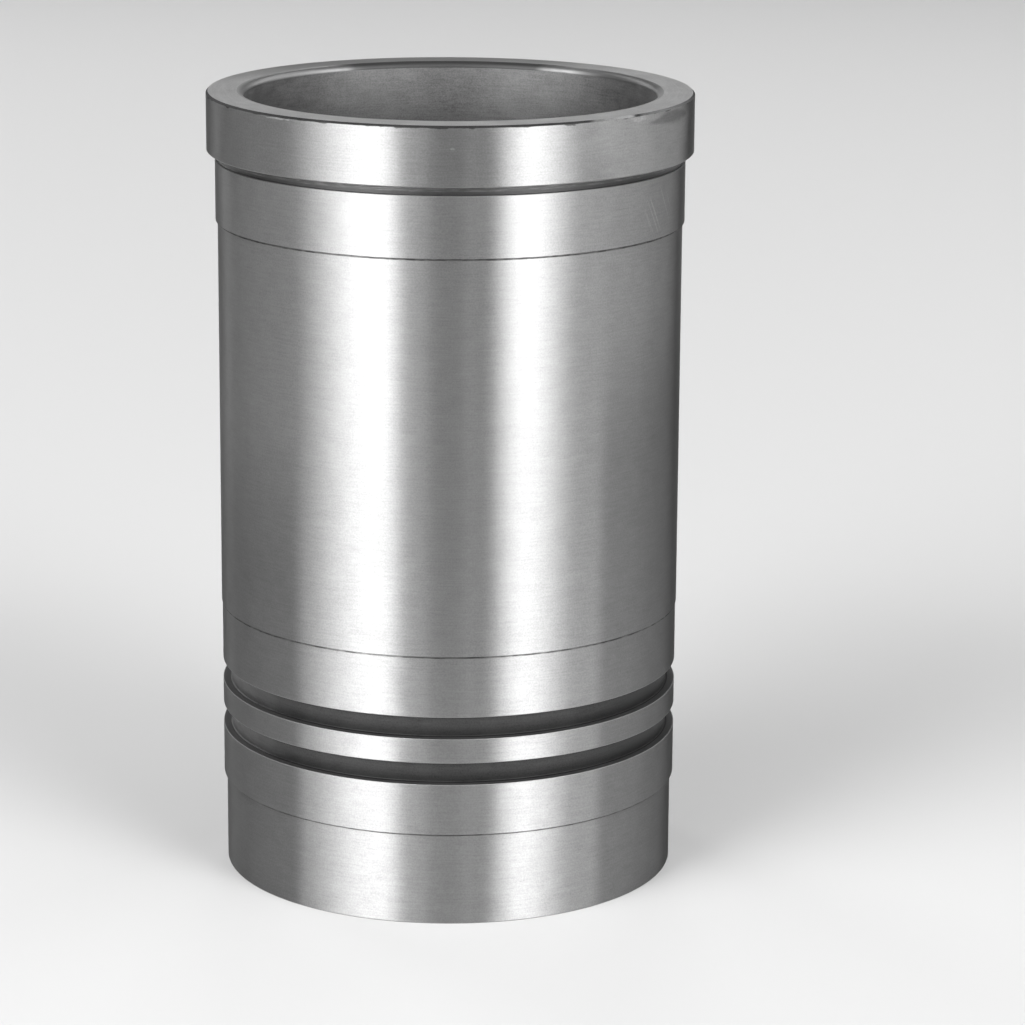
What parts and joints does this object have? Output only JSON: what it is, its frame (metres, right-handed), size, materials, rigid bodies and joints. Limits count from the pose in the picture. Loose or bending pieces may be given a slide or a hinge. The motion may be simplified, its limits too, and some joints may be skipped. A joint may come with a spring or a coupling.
{
  "type": "cylinder liner",
  "caption": "Wet cylinder liner: a turned iron sleeve with a seat flange at the top, locating pilots, seal ring grooves near the foot and a honed bore for a piston.",
  "frame": {"origin": "centre of the foot face, on the bore axis", "axes": "+Z along the bore axis, from the foot up to the flanged top; X and Y are any two square directions, because the part is round"},
  "size_m": [0.124, 0.124, 0.2027],
  "materials": {
    "turned_iron": "bright fine-turned outside with circumferential tool marks, faced top, matt turned seal grooves and a plateau-honed bore"
  },
  "bodies": {
    "root": {"cylinder_liner": "turned_iron"}
  },
  "joints": []
}
